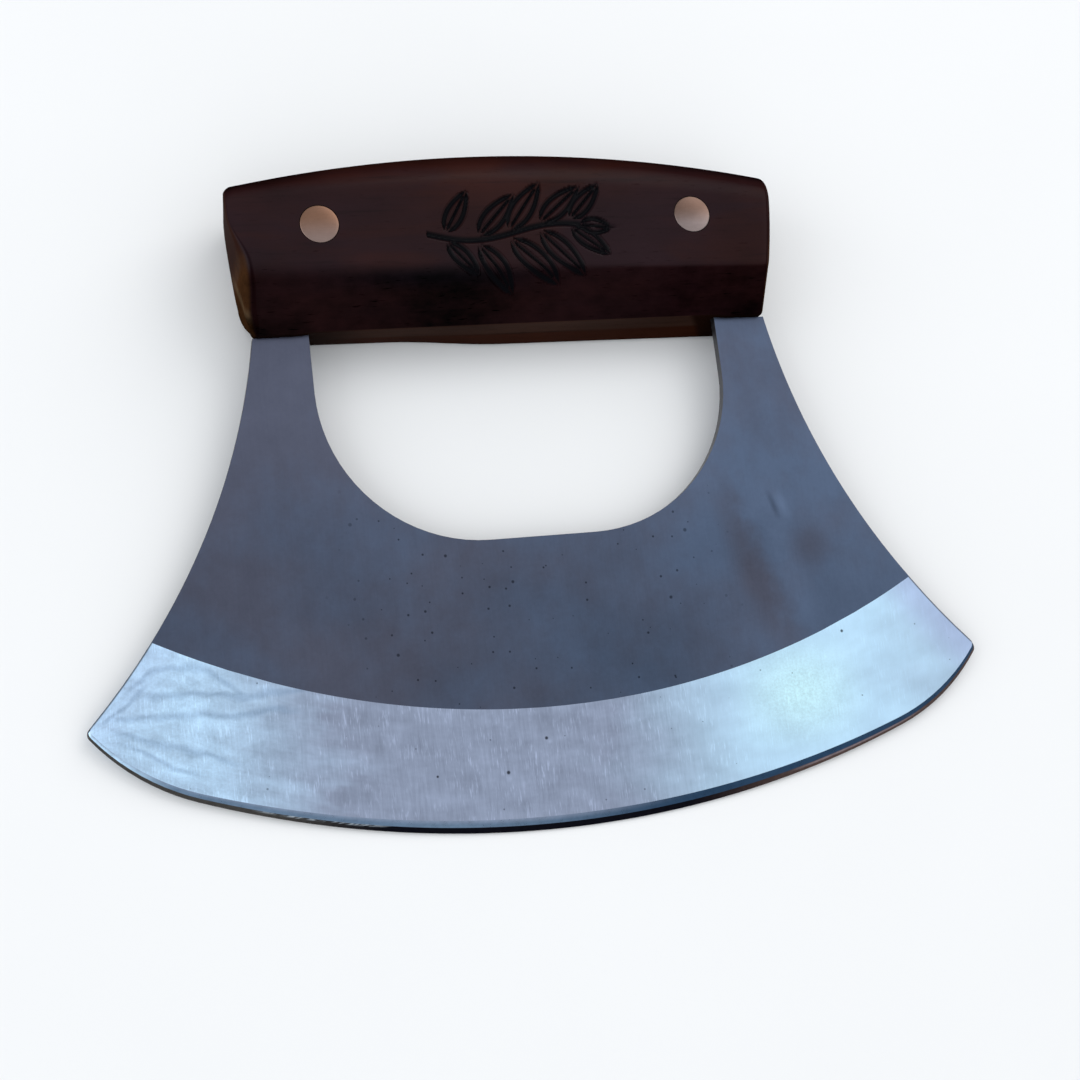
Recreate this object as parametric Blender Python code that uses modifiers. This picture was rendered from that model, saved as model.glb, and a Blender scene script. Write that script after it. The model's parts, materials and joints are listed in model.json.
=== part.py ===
"""Ulu knife: a crescent blade with a finger opening, a wooden handle and two steel pins.

Everything is in metres. The knife is modelled in its own frame: X runs along the handle, Y from
the cutting edge up to the handle and Z out of the front face. The origin of that frame is the
lowest point of the edge, with the blade's middle plane at Z = 0. One empty carries the pieces and
lays the knife on its back, so that it rests on the ends of the handle's back crease and on the
edge's bevel.
"""
import math

import bmesh
import bpy
from mathutils import Vector

MM = 0.001

# Blade plate
BLADE_SPAN = 152.4 * MM
BLADE_DEPTH = 48.4 * MM
BLADE_THICKNESS = 1.8 * MM
TIP_RADIUS = 1.2 * MM
EDGE_RADIUS = 175.3 * MM
EDGE_RUN_SHARE = 0.79
TIP_LIFT = 5.9 * MM
FLANK_RADIUS = 116.6 * MM

# Finger opening and the legs beside it
OPENING_WIDTH = 71.7 * MM
OPENING_HEIGHT = 36.75 * MM
OPENING_CORNER_RADIUS = 26.7 * MM
LEG_WIDTH = 9.3 * MM

# Ground face and cutting edge
GRIND_RADIUS = 139.0 * MM
GRIND_RISE = 19.8 * MM
EDGE_STOCK = 0.9 * MM
BEVEL_WIDTH = 2.1 * MM
BEVEL_TIP_WIDTH = 0.8 * MM
BEVEL_WAIST = 0.5 * MM
BEVEL_LOWER_SHARE = 0.45
EDGE_FLAT = 0.1 * MM

# Tang, the bar of the plate that sits inside the handle
TANG_SHOULDER = 4.5 * MM
TANG_RECESS = 0.4 * MM
TANG_MARGIN = 1.5 * MM

# Handle
HANDLE_HEIGHT = 30.15 * MM
HANDLE_DEPTH = 15.5 * MM
FRONT_BASE_DEPTH = 1.8 * MM
BACK_BASE_DEPTH = 6.3 * MM
BACK_DROP_LEFT = 0.8 * MM
BACK_DROP_RIGHT = 1.6 * MM
SEAT_DEPTH = 1.3 * MM
BACK_HOLLOW = 0.1 * MM
ARCH_RADIUS = 216.0 * MM
ARCH_SHIFT = 1.0 * MM
FRONT_CREASE_LEFT = 9.45 * MM
FRONT_CREASE_RIGHT = 6.95 * MM
BACK_CREASE = 8.25 * MM
CREASE_ROUND = 5.0 * MM
BASE_ROUND = 0.5 * MM
SIDE_LEAN = 0.15 * MM
CROWN_SHARE = 0.365
CROWN_POWER_SHARE = 0.8
END_ROUND = 1.0 * MM
END_OVERHANG = 2.4 * MM
LEFT_TUCK = 2.2 * MM
RIGHT_TUCK = 4.3 * MM
BACK_TUCK = 3.4 * MM
TUCK_FLOOR = 7.0 * MM

# Pins
PIN_DIAMETER = 6.5 * MM
PIN_LEFT_SETBACK = 2.65 * MM
PIN_RIGHT_SETBACK = 4.0 * MM
PIN_HEIGHT_SHARE = 0.553
PIN_PROUD = 0.15 * MM
PIN_CHAMFER = 0.35 * MM
PIN_DOME = 0.2 * MM

# Fits and cuts
CLEARANCE = 0.3 * MM
OVERRUN = 2.0 * MM
MERGE = 0.01 * MM

# Facets and angles
QUARTER_TURN = math.radians(90)
SHARP_ANGLE = math.radians(25)
STEEPEST_TILT = math.radians(45)
EDGE_STEPS = 24
END_STEPS = 10
TIP_STEPS = 4
FLANK_STEPS = 22
CORNER_STEPS = 20
GRIND_STEPS = 4
BODY_STEPS = 28
END_TURN_STEPS = 4
CREASE_STEPS = 3
CROWN_STEPS = 9
PIN_STEPS = 40
TILT_HALVINGS = 40

# Sizes that follow from the ones above
HANDLE_BASE = BLADE_DEPTH + OPENING_HEIGHT
LEG_REACH = OPENING_WIDTH / 2 + LEG_WIDTH
LEG_TOP = HANDLE_BASE - CLEARANCE
TANG_REACH = LEG_REACH - TANG_SHOULDER
PIN_LEFT = -(OPENING_WIDTH / 2 - PIN_LEFT_SETBACK)
PIN_RIGHT = OPENING_WIDTH / 2 - PIN_RIGHT_SETBACK
PIN_RISE = HANDLE_HEIGHT * PIN_HEIGHT_SHARE
PIN_HOLE_RADIUS = PIN_DIAMETER / 2 + CLEARANCE
TANG_TOP = HANDLE_BASE + PIN_RISE + PIN_HOLE_RADIUS + TANG_MARGIN


def clear_scene():
    for old in list(bpy.data.objects):
        bpy.data.objects.remove(old, do_unlink=True)
    for old in list(bpy.data.collections):
        bpy.data.collections.remove(old)


def new_collection(name):
    collection = bpy.data.collections.new(name)
    bpy.context.scene.collection.children.link(collection)
    return collection


def new_material(name, colour, roughness, metallic):
    material = bpy.data.materials.new(name)
    material.use_nodes = True
    shader = material.node_tree.nodes["Principled BSDF"]
    shader.inputs["Base Color"].default_value = (*colour, 1.0)
    shader.inputs["Roughness"].default_value = roughness
    shader.inputs["Metallic"].default_value = metallic
    return material


def new_object(name, bm, collection, parent, material=None):
    """Turn a bmesh into an object under the knife's empty."""
    mesh = bpy.data.meshes.new(name)
    bm.to_mesh(mesh)
    bm.free()
    mesh.shade_smooth()
    mesh.set_sharp_from_angle(angle=SHARP_ANGLE)
    if material:
        mesh.materials.append(material)
    obj = bpy.data.objects.new(name, mesh)
    collection.objects.link(obj)
    obj.parent = parent
    return obj


def new_cutter(name, bm, collection, parent):
    cutter = new_object(name, bm, collection, parent)
    cutter.hide_render = True
    cutter.display_type = "WIRE"
    return cutter


def cut(obj, cutter):
    modifier = obj.modifiers.new(cutter.name, "BOOLEAN")
    modifier.operation = "DIFFERENCE"
    modifier.solver = "EXACT"
    modifier.object = cutter


def arc_point(centre, start, end, share):
    """The point at a share of the shorter arc from start to end about a centre."""
    first = start - centre
    last = end - centre
    sweep = math.atan2(first.x * last.y - first.y * last.x, first.dot(last)) * share
    cosine = math.cos(sweep)
    sine = math.sin(sweep)
    return centre + Vector((first.x * cosine - first.y * sine, first.x * sine + first.y * cosine))


def arc_points(centre, start, end, steps):
    return [arc_point(centre, start, end, step / steps) for step in range(steps + 1)]


def circles_meet(centre_a, radius_a, centre_b, radius_b):
    """Where two circles cross, on the right as one looks from the first centre to the second."""
    apart = centre_b - centre_a
    along = (apart.length_squared + radius_a ** 2 - radius_b ** 2) / (2 * apart.length)
    aside = math.sqrt(radius_a ** 2 - along ** 2)
    forward = apart.normalized()
    return centre_a + forward * along + Vector((forward.y, -forward.x)) * aside


def rounded_corner(before, corner, after, radius, steps):
    """The arc that rounds a corner between two straight sides."""
    to_before = (before - corner).normalized()
    to_after = (after - corner).normalized()
    half_angle = to_before.angle(to_after) / 2
    tangent = radius / math.tan(half_angle)
    centre = corner + (to_before + to_after).normalized() * (radius / math.sin(half_angle))
    return arc_points(centre, corner + to_before * tangent, corner + to_after * tangent, steps)


def tip_circle():
    """Centre of the rounding at the right tip: the main edge arc carried on, and lifted."""
    reach = BLADE_SPAN / 2 - TIP_RADIUS
    return Vector((reach, EDGE_RADIUS - math.sqrt(EDGE_RADIUS ** 2 - reach ** 2) + TIP_LIFT))


def flank_circle():
    """Centre of the hollow flank, through the top of the leg and touching the tip's rounding."""
    leg_corner = Vector((LEG_REACH, LEG_TOP))
    return circles_meet(tip_circle(), FLANK_RADIUS + TIP_RADIUS, leg_corner, FLANK_RADIUS)


def edge_line():
    """Right half of the cutting edge: a shallow arc, a tighter one to the tip, and the tip."""
    tip = tip_circle()
    flank = flank_circle()
    middle = Vector((0, EDGE_RADIUS))
    run = BLADE_SPAN / 2 * EDGE_RUN_SHARE
    joint = Vector((run, EDGE_RADIUS - math.sqrt(EDGE_RADIUS ** 2 - run ** 2)))
    inward = (middle - joint).normalized()
    to_tip = tip - joint
    end_radius = (to_tip.length_squared - TIP_RADIUS ** 2) / (2 * (to_tip.dot(inward) - TIP_RADIUS))
    end_centre = joint + inward * end_radius
    end_touch = end_centre + (tip - end_centre).normalized() * end_radius
    flank_touch = flank + (tip - flank).normalized() * FLANK_RADIUS
    line = arc_points(middle, Vector((0, 0)), joint, EDGE_STEPS)
    line += arc_points(end_centre, joint, end_touch, END_STEPS)[1:]
    line += arc_points(tip, end_touch, flank_touch, TIP_STEPS)[1:]
    return line


def ground_rows():
    """Rows of the ground face, from the grind line down to the edge, each from X = 0 to the flank.

    The primary grind is a cone about the grind line's centre. Below its shoulder two narrow
    facets close in on the edge, which keeps a small flat.
    """
    edge = edge_line()
    flank = flank_circle()
    centre = Vector((0, GRIND_RISE + GRIND_RADIUS))
    slope = (BLADE_THICKNESS - EDGE_STOCK) / 2 / (GRIND_RISE - BEVEL_WIDTH)
    facet_heights = [BEVEL_WAIST / 2, EDGE_FLAT / 2]
    line_start = Vector((0, GRIND_RISE))
    line_end = circles_meet(centre, GRIND_RADIUS, flank, FLANK_RADIUS)
    lengths = [0.0]
    for before, after in zip(edge, edge[1:]):
        lengths.append(lengths[-1] + (after - before).length)
    rows = [[] for _ in range(GRIND_STEPS + 3)]
    for foot, length in zip(edge, lengths):
        share = length / lengths[-1]
        head = arc_point(centre, line_start, line_end, share)
        bevel = BEVEL_WIDTH + (BEVEL_TIP_WIDTH - BEVEL_WIDTH) * share ** 2
        station = (foot - head).length
        shoulder = 1 - bevel / station
        waist = 1 - bevel * BEVEL_LOWER_SHARE / station
        drops = [shoulder * step / GRIND_STEPS for step in range(GRIND_STEPS + 1)] + [waist, 1]
        for index, drop in enumerate(drops):
            on_flank = foot is edge[-1]
            place = arc_point(flank, head, foot, drop) if on_flank else head.lerp(foot, drop)
            if index <= GRIND_STEPS:
                height = BLADE_THICKNESS / 2 - slope * ((place - centre).length - GRIND_RADIUS)
            else:
                height = facet_heights[index - GRIND_STEPS - 1]
            rows[index].append(Vector((place.x, place.y, height)))
    return rows


def plate_outline(grind_end):
    """The flat's outline after the grind line: flank, leg, tang and finger opening."""
    flank = flank_circle()
    leg_corner = Vector((LEG_REACH, LEG_TOP))
    side = OPENING_WIDTH / 2
    corner = min(OPENING_CORNER_RADIUS, side, OPENING_HEIGHT)
    corner_centre = Vector((side - corner, BLADE_DEPTH + corner))
    outline = arc_points(flank, grind_end, leg_corner, FLANK_STEPS)[1:]
    outline.append(Vector((TANG_REACH, LEG_TOP)))
    outline.append(Vector((TANG_REACH, TANG_TOP)))
    outline.append(Vector((0, TANG_TOP)))
    outline.append(Vector((0, HANDLE_BASE + TANG_RECESS)))
    outline.append(Vector((side, HANDLE_BASE + TANG_RECESS)))
    corner_start = Vector((side, corner_centre.y))
    corner_end = Vector((corner_centre.x, BLADE_DEPTH))
    outline += arc_points(corner_centre, corner_start, corner_end, CORNER_STEPS)
    outline.append(Vector((0, BLADE_DEPTH)))
    return outline


def make_blade(collection, parent, pin_cutters):
    """A quarter of the plate, open at X = 0 and Z = 0, mirrored both ways and bored for the pins."""
    bm = bmesh.new()
    grid = [[bm.verts.new(point) for point in row] for row in ground_rows()]
    for upper, lower in zip(grid, grid[1:]):
        for place in range(len(upper) - 1):
            bm.faces.new((upper[place], lower[place], lower[place + 1], upper[place + 1]))
    grind_end = grid[0][-1].co.to_2d()
    outline = [bm.verts.new((point.x, point.y, BLADE_THICKNESS / 2)) for point in plate_outline(grind_end)]
    bm.faces.new(grid[0] + outline)
    rim = [edge for edge in bm.edges if edge.is_boundary and any(vert.co.x > MERGE for vert in edge.verts)]
    walls = bmesh.ops.extrude_edge_only(bm, edges=rim)
    for vert in (item for item in walls["geom"] if isinstance(item, bmesh.types.BMVert)):
        vert.co.z = 0
    steel = new_material("blade_steel", (0.22, 0.25, 0.30), 0.34, 1.0)
    blade = new_object("blade", bm, collection, parent, steel)
    mirror = blade.modifiers.new("mirror", "MIRROR")
    mirror.use_axis = (True, False, True)
    mirror.use_clip = True
    mirror.merge_threshold = MERGE
    for cutter in pin_cutters:
        cut(blade, cutter)
    return blade


def handle_reach(side, rise, depth=0):
    """How far an end of the handle lies from the middle, at a height and a depth.

    The end leans out towards the top. Below the tuck's floor its front half is upright and its
    back half is rounded away.
    """
    tuck = LEFT_TUCK if side < 0 else RIGHT_TUCK
    reach = LEG_REACH + END_OVERHANG - tuck * (1 - max(rise, TUCK_FLOOR) / HANDLE_HEIGHT) ** 2
    if rise < TUCK_FLOOR and depth < 0:
        reach += BACK_TUCK * depth / (HANDLE_DEPTH / 2) * (1 - rise / TUCK_FLOOR) ** 2
    return reach


def half_section(base_corner, crease, top_rise):
    """One side of the handle's section as (depth, rise), from the underside's middle to the top."""
    seat = Vector((SEAT_DEPTH, 0))
    crown = (top_rise - crease.y) * CROWN_SHARE
    spring = Vector((crease.x - SIDE_LEAN, top_rise - crown))
    section = [Vector((0, 0)), seat]
    section += rounded_corner(seat, base_corner, crease, BASE_ROUND, CREASE_STEPS)
    section += rounded_corner(base_corner, crease, spring, CREASE_ROUND, CREASE_STEPS)
    section.append((crease + spring) / 2)
    section.append(spring)
    for step in range(1, CROWN_STEPS):
        turn = QUARTER_TURN * step / CROWN_STEPS
        depth = spring.x * math.cos(turn) ** CROWN_POWER_SHARE
        section.append(Vector((depth, spring.y + crown * math.sin(turn) ** CROWN_POWER_SHARE)))
    section.append(Vector((0, top_rise)))
    return section


def handle_ring(side, turn):
    """One ring of the handle at a share of its length, turned in over the end by an angle.

    The front slopes in below its crease and ends just in front of the plate. The underside is level
    at the plate and drops a little behind it. The arch is highest a little left of the middle. The
    back is slightly hollow along its length, so the handle rests on its two ends.
    """
    setback = END_ROUND * (1 - math.sin(turn))
    inset = END_ROUND * (1 - math.cos(turn))
    place = side * (handle_reach(side, PIN_RISE) - setback)
    top_rise = HANDLE_HEIGHT - ARCH_RADIUS + math.sqrt(ARCH_RADIUS ** 2 - (place + ARCH_SHIFT) ** 2)
    along = (side + 1) / 2
    front_crease = FRONT_CREASE_LEFT + (FRONT_CREASE_RIGHT - FRONT_CREASE_LEFT) * along
    back_depth = HANDLE_DEPTH / 2 - BACK_HOLLOW * (1 - side ** 2)
    front_base = Vector((FRONT_BASE_DEPTH, 0))
    back_drop = BACK_DROP_LEFT + (BACK_DROP_RIGHT - BACK_DROP_LEFT) * along
    back_base = Vector((BACK_BASE_DEPTH, -back_drop))
    front = half_section(front_base, Vector((HANDLE_DEPTH / 2, front_crease)), top_rise)
    back = half_section(back_base, Vector((back_depth, BACK_CREASE)), top_rise)
    outline = front + [Vector((-point.x, point.y)) for point in back[-2:0:-1]]
    centre = top_rise / 2
    ring = []
    for point in outline:
        depth = point.x * (1 - inset / (HANDLE_DEPTH / 2))
        rise = centre + (point.y - centre) * (1 - inset / centre)
        reach = handle_reach(side, rise, depth) - setback
        ring.append(Vector((side * reach, HANDLE_BASE + rise, depth)))
    return ring


def close_end(bm, loop):
    """Fill an end ring with strips that run from its front side to its back side."""
    bm.faces.new((loop[-1], loop[0], loop[1], loop[2], loop[-2]))
    top = len(loop) // 2
    for place in range(2, top - 1):
        bm.faces.new((loop[place], loop[place + 1], loop[-place - 1], loop[-place]))
    bm.faces.new((loop[top - 1], loop[top], loop[top + 1]))


def mortise_cutter(collection, parent):
    """The blind slot in the underside that takes the tang."""
    bm = bmesh.new()
    bmesh.ops.create_cube(bm, size=1)
    low = HANDLE_BASE - OVERRUN
    high = TANG_TOP + CLEARANCE
    size = Vector((2 * (TANG_REACH + CLEARANCE), high - low, BLADE_THICKNESS + 2 * CLEARANCE))
    bmesh.ops.scale(bm, vec=size, verts=bm.verts)
    cutter = new_cutter("mortise_cutter", bm, collection, parent)
    cutter.location = (0, (low + high) / 2, 0)
    return cutter


def pin_cutter(name, place, collection, parent):
    """The bore of one pin, through the handle and the tang."""
    bm = bmesh.new()
    bmesh.ops.create_cone(bm, cap_ends=True, segments=PIN_STEPS, radius1=PIN_HOLE_RADIUS,
                          radius2=PIN_HOLE_RADIUS, depth=HANDLE_DEPTH + 2 * OVERRUN)
    cutter = new_cutter(name, bm, collection, parent)
    cutter.location = (place, HANDLE_BASE + PIN_RISE, 0)
    return cutter


def make_handle(collection, parent, cutters):
    """A loft of cross-sections along the handle, rounded over at both ends."""
    turns = [QUARTER_TURN * step / END_TURN_STEPS for step in range(1, END_TURN_STEPS + 1)]
    rings = [handle_ring(-1, turn) for turn in reversed(turns)]
    rings += [handle_ring(2 * step / BODY_STEPS - 1, 0) for step in range(BODY_STEPS + 1)]
    rings += [handle_ring(1, turn) for turn in turns]
    bm = bmesh.new()
    loops = [[bm.verts.new(point) for point in ring] for ring in rings]
    count = len(loops[0])
    for left, right in zip(loops, loops[1:]):
        for place in range(count):
            following = (place + 1) % count
            bm.faces.new((left[place], right[place], right[following], left[following]))
    close_end(bm, loops[0])
    close_end(bm, loops[-1])
    bmesh.ops.recalc_face_normals(bm, faces=bm.faces)
    wood = new_material("handle_wood", (0.055, 0.018, 0.012), 0.38, 0.0)
    handle = new_object("handle", bm, collection, parent, wood)
    for cutter in cutters:
        cut(handle, cutter)
    return handle


def make_pin(name, place, steel, collection, parent):
    """One pin, turned from a profile: a rod with chamfered, slightly domed ends."""
    radius = PIN_DIAMETER / 2
    half = HANDLE_DEPTH / 2 + PIN_PROUD
    rim = half - PIN_DOME
    profile = [Vector((0, half)), Vector((radius / 2, half - PIN_DOME / 4)),
               Vector((radius - PIN_CHAMFER, rim)), Vector((radius, rim - PIN_CHAMFER))]
    profile += [Vector((point.x, -point.y)) for point in reversed(profile)]
    bm = bmesh.new()
    verts = [bm.verts.new((point.x, 0, point.y)) for point in profile]
    for before, after in zip(verts, verts[1:]):
        bm.edges.new((before, after))
    pin = new_object(name, bm, collection, parent, steel)
    screw = pin.modifiers.new("turn", "SCREW")
    screw.steps = PIN_STEPS
    screw.render_steps = PIN_STEPS
    screw.use_merge_vertices = True
    screw.merge_threshold = MERGE
    screw.use_smooth_shade = True
    pin.location = (place, HANDLE_BASE + PIN_RISE, 0)
    return pin


def world_points(objects):
    """All corners of the finished pieces, as the viewport evaluates them."""
    bpy.context.view_layer.update()
    depsgraph = bpy.context.evaluated_depsgraph_get()
    points = []
    for obj in objects:
        evaluated = obj.evaluated_get(depsgraph)
        points += [evaluated.matrix_world @ vert.co for vert in evaluated.data.vertices]
    return points


def resting_tilt(blade, handle):
    """The tilt at which the lowest points of the blade's back and the handle's back are level."""
    blade_points = world_points([blade])
    handle_points = world_points([handle])
    level = 0.0
    steep = STEEPEST_TILT
    for _ in range(TILT_HALVINGS):
        tilt = (level + steep) / 2
        sine = math.sin(tilt)
        cosine = math.cos(tilt)
        blade_low = min(point.y * sine + point.z * cosine for point in blade_points)
        handle_low = min(point.y * sine + point.z * cosine for point in handle_points)
        if handle_low < blade_low:
            level = tilt
        else:
            steep = tilt
    return tilt


def lay_on_table(knife, blade, handle, pieces):
    """Tilt the knife until blade and handle both touch the table, and centre it there."""
    knife.rotation_euler.x = resting_tilt(blade, handle)
    points = world_points(pieces)
    lows = [min(point[axis] for point in points) for axis in range(3)]
    highs = [max(point[axis] for point in points) for axis in range(3)]
    knife.location = (-(lows[0] + highs[0]) / 2, -(lows[1] + highs[1]) / 2, -lows[2])


def build():
    clear_scene()
    collection = new_collection("ulu_knife")
    cutters = new_collection("cutters")
    knife = bpy.data.objects.new("knife", None)
    collection.objects.link(knife)
    pin_cutters = [
        pin_cutter("pin_left_cutter", PIN_LEFT, cutters, knife),
        pin_cutter("pin_right_cutter", PIN_RIGHT, cutters, knife),
    ]
    blade = make_blade(collection, knife, pin_cutters)
    handle = make_handle(collection, knife, [mortise_cutter(cutters, knife), *pin_cutters])
    steel = new_material("pin_steel", (0.55, 0.50, 0.46), 0.22, 1.0)
    pins = [
        make_pin("pin_left", PIN_LEFT, steel, collection, knife),
        make_pin("pin_right", PIN_RIGHT, steel, collection, knife),
    ]
    lay_on_table(knife, blade, handle, [blade, handle, *pins])


build()
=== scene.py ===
import json
import math

import bmesh
import bpy
from bpy.props import FloatProperty, FloatVectorProperty, IntProperty, PointerProperty
from mathutils import Euler, Matrix, Vector


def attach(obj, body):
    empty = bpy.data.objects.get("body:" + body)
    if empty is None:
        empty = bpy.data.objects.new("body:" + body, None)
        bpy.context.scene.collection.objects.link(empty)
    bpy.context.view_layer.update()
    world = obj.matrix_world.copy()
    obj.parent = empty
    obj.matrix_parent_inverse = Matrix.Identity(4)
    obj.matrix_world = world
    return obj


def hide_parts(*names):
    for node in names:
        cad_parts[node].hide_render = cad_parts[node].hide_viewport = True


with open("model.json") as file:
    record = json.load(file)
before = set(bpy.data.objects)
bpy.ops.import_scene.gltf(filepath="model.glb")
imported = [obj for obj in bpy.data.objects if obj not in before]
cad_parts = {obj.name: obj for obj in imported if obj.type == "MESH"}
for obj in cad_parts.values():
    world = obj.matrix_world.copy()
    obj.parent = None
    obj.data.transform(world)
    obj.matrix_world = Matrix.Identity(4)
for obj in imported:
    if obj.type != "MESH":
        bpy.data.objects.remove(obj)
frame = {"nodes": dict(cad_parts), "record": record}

bl_info = {
    "name": "Ulu knife",
    "version": (1, 0, 0),
    "blender": (4, 5, 0),
    "location": "View3D > Sidebar > Ulu",
    "description": "Dresses a crescent-bladed knife: ground steel, carved dark wood and polished pins",
    "category": "Object",
}

MM = 0.001
PER_METRE = 1000
WELD = 0.002 * MM
QUARTER_TURN = math.radians(90)


def knife_matrix():
    """From the table's frame to the knife's own: X along, Y up from the edge, Z out of the front."""
    axis = frame["record"]["mounts"][0]["axis"]
    level = Matrix.Rotation(-math.atan2(axis[1], -axis[2]), 4, "X")
    points = [level @ vert.co for vert in frame["nodes"]["blade"].data.vertices]
    foot = min(point.y for point in points)
    middle = (min(point.z for point in points) + max(point.z for point in points)) / 2
    return Matrix.Translation((0, -foot, -middle)) @ level


TO_KNIFE = knife_matrix()
TO_TABLE = TO_KNIFE.inverted()


def knife_box(node, above=-math.inf):
    """Lowest and highest corner of a CAD node, or of what lies above a height, in the knife's frame."""
    points = [TO_KNIFE @ vert.co for vert in frame["nodes"][node].data.vertices]
    points = [point for point in points if point.y > above]
    low = Vector([min(point[axis] for point in points) for axis in range(3)])
    high = Vector([max(point[axis] for point in points) for axis in range(3)])
    return low, high


# In millimetres, as the settings are given. The measures after it are in metres.
HANDLE_HEIGHT = 30.15
HANDLE_BASE = knife_box("handle")[1].y - HANDLE_HEIGHT * MM
TANG = knife_box("blade", HANDLE_BASE)
PINS = {node: knife_box(node) for node in ("pin_left", "pin_right")}
PIN_LEVEL = PINS["pin_right"][0].lerp(PINS["pin_right"][1], 0.5).y


def in_mm(name, description, millimetres):
    """A length for the panel, given in millimetres and kept in metres."""
    return FloatProperty(name=name, description=description, default=millimetres * MM, unit="LENGTH")


def in_rgb(name, description, colour):
    """A colour for the panel, given as linear red, green and blue."""
    return FloatVectorProperty(name=name, description=description, subtype="COLOR", default=colour)


class BladeSettings(bpy.types.PropertyGroup):
    grind_radius: in_mm("Grind radius", "Radius of the line where the grind starts", 139)
    grind_rise: in_mm("Grind rise", "Height of that line above the edge, in the middle", 19.8)
    waist: in_mm("Bevel waist", "Thickness where the two edge facets meet", 0.5)
    easing: in_mm("Eased edges", "How far the plate's sharp arrises are broken", 0.15)
    plate_colour: in_rgb("Plate", "Satin steel above the grind, violet grey", (0.084, 0.092, 0.132))
    cool_colour: in_rgb("Plate, cool", "Satin steel above the grind, blue grey", (0.078, 0.108, 0.172))
    ground_colour: in_rgb("Ground face", "Freshly ground steel", (0.315, 0.365, 0.49))
    left_reflection_colour: in_rgb(
        "Ground face, left", "Ground steel where it shines towards the left", (0.54, 0.76, 0.98))
    right_reflection_colour: in_rgb(
        "Ground face, right", "Ground steel where it shines towards the right", (0.56, 0.8, 1))


class HandleSettings(bpy.types.PropertyGroup):
    half_length: in_mm("Half length", "From the middle to either end", 47.55)
    height: in_mm("Height", "From the underside at the plate to the top of the arch", HANDLE_HEIGHT)
    depth: in_mm("Depth", "From the front crease to the back crease", 15.5)
    arch_radius: in_mm("Arch radius", "Radius of the arched top", 216)
    arch_shift: in_mm("Arch shift", "How far left of the middle the arch is highest", 1)
    front_base: in_mm("Front base depth", "How far in front of the middle the underside ends", 1.8)
    back_base: in_mm("Back base depth", "How far behind the middle the underside ends", 6.3)
    drop_left: in_mm("Back drop, left", "How far the underside drops behind the plate, at the left end", 0.8)
    drop_right: in_mm(
        "Back drop, right", "How far the underside drops behind the plate, at the right end", 1.6)
    crease_left: in_mm("Crease, left", "Height of the front crease at the left end", 9.45)
    crease_right: in_mm("Crease, right", "Height of the front crease at the right end", 6.95)
    crease_back: in_mm("Crease, back", "Height of the back crease", 8.25)
    end_round: in_mm("End rounding", "Radius over the ends", 1)
    tuck_left: in_mm("Tuck, left", "How far the left end draws in below the top", 2.2)
    tuck_right: in_mm("Tuck, right", "How far the right end draws in below the top", 4.3)
    tuck_back: in_mm("Tuck, back", "How far the ends are rounded away at the back of the underside", 3.4)
    ear: in_mm("Ear", "How far the front's upper left corner stands out", 1.1)
    lift: in_mm("Lift", "How far the underside is hollowed beside the left leg", 1.1)
    wood_colour: in_rgb("Wood", "Dark wood under varnish", (0.014, 0.0058, 0.0078))
    red_colour: in_rgb("Wood, red", "Redder figure along the arched top", (0.023, 0.0064, 0.005))
    end_colour: in_rgb("Wood, ends", "Lighter wood at the ends and underside", (0.048, 0.02, 0.008))


class CarvingSettings(bpy.types.PropertyGroup):
    half_length: in_mm("Half length", "From the middle to the sprig's end", 15.5)
    rise: in_mm("Rise", "Height of the stem above the underside", 14.4)
    leaf_length: in_mm("Leaf length", "Length of the leaves in the middle", 11.5)
    leaf_width: in_mm("Leaf width", "Width of the leaves in the middle", 3.5)
    groove: in_mm("Groove", "Half the width of the groove round a leaf", 0.56)
    depth: in_mm("Depth", "Depth of the deepest cuts", 0.42)
    pairs: IntProperty(name="Leaf pairs", description="Pairs of leaves along the stem", default=5)


class PinSettings(bpy.types.PropertyGroup):
    dome: in_mm("Dome", "How far the middle of a pin's end stands out past its rim", 0.2)
    chamfer: in_mm("Chamfer", "Broken arris of a pin's end", 0.22)
    metal_colour: in_rgb("Pin metal", "Polished metal, warm", (0.205, 0.112, 0.075))
    grey_reflection_colour: in_rgb("Pin metal, grey", "Polished metal, grey", (0.285, 0.225, 0.215))


class StageSettings(bpy.types.PropertyGroup):
    camera_place: FloatVectorProperty(
        name="Camera place", description="Camera in the knife's frame", subtype="TRANSLATION",
        default=(-77.43 * MM, -1.61 * MM, 279.21 * MM))
    camera_turn: FloatVectorProperty(
        name="Camera turn", description="Camera's turn in the knife's frame", subtype="EULER",
        default=(math.radians(11.5223), math.radians(-14.1107), math.radians(-7.1737)))
    lens: FloatProperty(name="Lens", description="Focal length in millimetres", default=58.33)
    floor_colour: in_rgb("Floor", "Pale floor", (0.82, 0.82, 0.82))
    floor_reach: in_mm("Floor reach", "How far the floor reaches, no farther than the lamps light it", 1000)


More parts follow.
